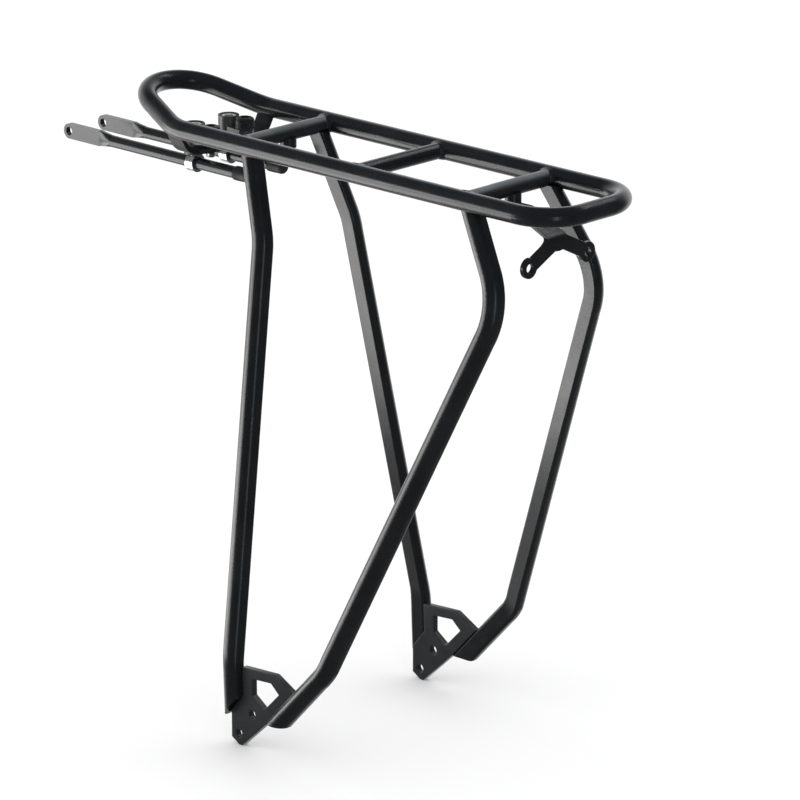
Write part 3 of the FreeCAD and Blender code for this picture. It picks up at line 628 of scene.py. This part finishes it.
# ---------------------------------------------------------------- grip pattern on the front and rear bars
# Millimetres; the angles are in degrees from straight up, positive towards the rear.
GRIP_HALF = 13.5
GRIP_PITCH = 0.95
GRIP_HEIGHT = 0.16
GRIP_BASE = 0.02
GRIP_FROM, GRIP_TO = -58, 78
GRIP_ACROSS, GRIP_AROUND = 120, 56
# The patch's outer edge dips into the bar, and the diamonds grow over the first steps of the grid.
GRIP_SUNK = -0.06
GRIP_FADE_STEPS = 3


def grip_patch(bar_x):
    """Fine raised diamonds over the top of a bar."""
    vertices, faces = [], []
    for i in range(GRIP_ACROSS + 1):
        y = -GRIP_HALF + 2 * GRIP_HALF * i / GRIP_ACROSS
        for j in range(GRIP_AROUND + 1):
            angle = math.radians(GRIP_FROM + (GRIP_TO - GRIP_FROM) * j / GRIP_AROUND)
            arc = BAR_R / MM * angle
            first = triangle_wave((y + arc) / GRIP_PITCH / 2)
            second = triangle_wave((y - arc) / GRIP_PITCH / 2)
            border = min(i, GRIP_ACROSS - i, j, GRIP_AROUND - j)
            rise = GRIP_BASE + GRIP_HEIGHT * min(first, second) * min(1.0, border / GRIP_FADE_STEPS)
            if border == 0:
                rise = GRIP_SUNK
            radius = BAR_R + rise * MM
            x = bar_x + radius * math.sin(angle)
            vertices.append(Vector((x, y * MM, DECK_Z + radius * math.cos(angle))))
    row = GRIP_AROUND + 1
    for i in range(GRIP_ACROSS):
        for j in range(GRIP_AROUND):
            faces.append((i * row + j, (i + 1) * row + j, (i + 1) * row + j + 1, i * row + j + 1))
    return vertices, faces


for name in ("cross_bar_front", "cross_bar_rear"):
    mesh_piece(f"grip_{name}", *grip_patch(BAR_X[name]), GRIP_COAT, "black_coat", "rack")


# ---------------------------------------------------------------- plugs in the legs' open tops
# The plate lies just under the leg's rim; its outline is a flat side, two shoulders and a half ellipse.
PLUG_TOP = 0.15 * MM
PLUG_BOTTOM = 1.6 * MM
PLUG_INSET = 0.9 * MM
PLUG_SHOULDER = 0.35
PLUG_STEPS = 12
RIM_SLACK = 0.05 * MM


def leg_plug(name):
    """Closing plate in the leg's mouth beside the bar, in the leg's own D shape."""
    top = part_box(name)[1].z
    rim = [v.co for v in NODES[name].data.vertices if v.co.z > top - RIM_SLACK]
    low_x, high_x = min(v.x for v in rim), max(v.x for v in rim)
    inner, outer = sorted((min(v.y for v in rim), max(v.y for v in rim)), key=abs)
    outward = math.copysign(1.0, outer)
    half = (high_x - low_x) / 2 - PLUG_INSET
    centre_x = (low_x + high_x) / 2
    flat = inner + outward * PLUG_INSET
    depth = abs(outer - inner) - 2 * PLUG_INSET
    outline = [(centre_x - half, flat), (centre_x + half, flat)]
    for step in range(PLUG_STEPS + 1):
        angle = math.pi * step / PLUG_STEPS
        reach = depth * (PLUG_SHOULDER + (1 - PLUG_SHOULDER) * math.sin(angle))
        outline.append((centre_x + half * math.cos(angle), flat + outward * reach))
    rings = [[Vector((x, y, z)) for x, y in outline] for z in (top - PLUG_BOTTOM, top - PLUG_TOP)]
    vertices = [point for ring in rings for point in ring]
    return vertices, tube_faces(2, len(outline), False)


LEGS = [f"{which}_leg_{side}" for which in ("front", "rear") for side in SIDES]
plugs = join_parts([leg_plug(name) for name in LEGS])
mesh_piece("leg_plugs", *plugs, COAT, "black_coat", "rack", smooth=False)


# ---------------------------------------------------------------- floor, light and camera
FLOOR_HALF = 15.0


def floor_plane():
    """Plain pale floor, unseen in gloss."""
    mesh = bpy.data.meshes.new("floor")
    corners = [(-1, -1), (1, -1), (1, 1), (-1, 1)]
    mesh.from_pydata([(x * FLOOR_HALF, y * FLOOR_HALF, FLOOR_Z) for x, y in corners], [], [(0, 1, 2, 3)])
    floor = bpy.data.objects.new("floor", mesh)
    bpy.context.scene.collection.objects.link(floor)
    paint = Shader("floor_paint")
    tone = paint.noise(0.8, 2.0)
    colour = paint.mix(paint.spread(tone, 0.0, 1.0), (0.935, 0.935, 0.935), (0.945, 0.945, 0.945))
    paint.link(colour, paint.surface.inputs["Base Color"])
    paint.set(Roughness=0.9, IOR=1.2)
    mesh.materials.append(paint.material)
    floor.visible_glossy = False


def softbox(name, centre, aim, size, radiance, colour):
    """Rectangular light that faces its aim and stays out of the camera's sight."""
    light = bpy.data.lights.new(name, "AREA")
    light.shape = "RECTANGLE"
    light.size, light.size_y = size
    light.energy = radiance * math.pi * size[0] * size[1]
    light.color = colour
    lamp = bpy.data.objects.new(name, light)
    lamp.location = centre
    lamp.rotation_mode = "QUATERNION"
    lamp.rotation_quaternion = (Vector(aim) - Vector(centre)).to_track_quat("-Z", "Y")
    lamp.visible_camera = False
    bpy.context.scene.collection.objects.link(lamp)


# What gloss sees: the room by height (0 straight down, 1 straight up), and the white backdrop behind the
# rack, by height and by how far a direction turns towards it.
ROOM = [(0.0, (0.12, 0.12, 0.12)), (0.45, (0.06, 0.06, 0.06)), (0.55, (0.045, 0.052, 0.06)),
        (1.0, (0.06, 0.08, 0.10))]
BACKDROP_BY_HEIGHT = [(0.08, (0.15, 0.15, 0.15)), (0.28, (1.0, 1.0, 1.0)), (0.62, (1.05, 1.05, 1.05)),
                      (0.84, (0.0, 0.0, 0.0))]
BACKDROP_TOWARDS = (-0.82, 0.57, 0.0)
BACKDROP_BY_TURN = [(0.24, (0, 0, 0)), (0.58, (1, 1, 1)), (1.0, (1, 1, 1))]
# Strength of the white that lights everything else.
EVEN_WHITE = 1.11


def studio_world():
    """Even white light on matt surfaces; gloss sees a dark room with a white backdrop behind the rack."""
    world = bpy.data.worlds.new("studio")
    bpy.context.scene.world = world
    world.use_nodes = True
    tree = world.node_tree
    tree.nodes.clear()
    link = tree.links.new
    place = tree.nodes.new("ShaderNodeTexCoord").outputs["Generated"]
    split = tree.nodes.new("ShaderNodeSeparateXYZ")
    link(place, split.inputs["Vector"])

    def ramp(source, low, high, stops):
        """Colour ramp over a range of the source."""
        scale = tree.nodes.new("ShaderNodeMapRange")
        scale.inputs["From Min"].default_value = low
        scale.inputs["From Max"].default_value = high
        link(source, scale.inputs["Value"])
        node = tree.nodes.new("ShaderNodeValToRGB")
        link(scale.outputs["Result"], node.inputs["Fac"])
        elements = node.color_ramp.elements
        elements[0].position, elements[0].color = stops[0][0], (*stops[0][1], 1)
        elements[1].position, elements[1].color = stops[-1][0], (*stops[-1][1], 1)
        for position, colour in stops[1:-1]:
            elements.new(position).color = (*colour, 1)
        return node.outputs["Color"]

    def blend(kind, first, second):
        """Two colours added or multiplied."""
        node = tree.nodes.new("ShaderNodeMix")
        node.data_type = "RGBA"
        node.blend_type = kind
        node.inputs["Factor"].default_value = 1.0
        link(first, node.inputs[6])
        link(second, node.inputs[7])
        return node.outputs[2]

    room = ramp(split.outputs["Z"], -1.0, 1.0, ROOM)
    level = ramp(split.outputs["Z"], -1.0, 1.0, BACKDROP_BY_HEIGHT)
    facing = tree.nodes.new("ShaderNodeVectorMath")
    facing.operation = "DOT_PRODUCT"
    facing.inputs[1].default_value = BACKDROP_TOWARDS
    link(place, facing.inputs[0])
    spread = ramp(facing.outputs["Value"], 0.0, 1.0, BACKDROP_BY_TURN)
    glossy = tree.nodes.new("ShaderNodeBackground")
    link(blend("ADD", room, blend("MULTIPLY", level, spread)), glossy.inputs["Color"])
    even = tree.nodes.new("ShaderNodeBackground")
    even.inputs["Color"].default_value = (1, 1, 1, 1)
    even.inputs["Strength"].default_value = EVEN_WHITE
    path = tree.nodes.new("ShaderNodeLightPath")
    mix = tree.nodes.new("ShaderNodeMixShader")
    link(path.outputs["Is Glossy Ray"], mix.inputs["Fac"])
    link(even.outputs["Background"], mix.inputs[1])
    link(glossy.outputs["Background"], mix.inputs[2])
    out = tree.nodes.new("ShaderNodeOutputWorld")
    link(mix.outputs["Shader"], out.inputs["Surface"])


CAMERA_PLACE = Vector((2.2345, -2.2593, 1.1861))
CAMERA_TARGET = Vector((0.0574, 0.0, 0.2067))
CAMERA_LENS = 245.9


def camera():
    """Long lens from the left rear, a little above the deck."""
    data = bpy.data.cameras.new("camera")
    data.sensor_width = 36.0
    data.lens = CAMERA_LENS
    data.clip_end = 100.0
    view = bpy.data.objects.new("camera", data)
    view.location = CAMERA_PLACE
    view.rotation_mode = "QUATERNION"
    view.rotation_quaternion = (CAMERA_TARGET - CAMERA_PLACE).to_track_quat("-Z", "Y")
    bpy.context.scene.collection.objects.link(view)
    bpy.context.scene.camera = view


WARM, COOL = (1.0, 0.98, 0.97), (0.97, 0.99, 1.0)
ON_FLOOR = FLOOR_Z + 0.004
# Name, centre, aim, size, radiance and colour. The first two lie on the floor and face up.
SOFTBOXES = [
    ("floor_near", (-0.62, -0.50, ON_FLOOR), (-0.62, -0.50, 1.0), (0.85, 0.75), 3.1, WARM),
    ("floor_far", (-1.35, -1.15, ON_FLOOR), (-1.35, -1.15, 1.0), (1.1, 1.0), 4.1, WARM),
    ("left_upright", (-1.75, -1.55, 0.2), (0.0, 0.0, 0.3), (1.7, 0.52), 3.5, WARM),
    ("rear_strip", (1.6, -0.85, 0.3), (0.0, 0.0, 0.2), (0.10, 1.1), 4.0, COOL),
    ("right_high", (0.3, 1.4, 1.8), (0.2, 0.0, 0.35), (1.3, 0.12), 3.6, COOL),
]

floor_plane()
for box in SOFTBOXES:
    softbox(*box)
studio_world()
camera()
bpy.context.scene.view_settings.view_transform = "Standard"
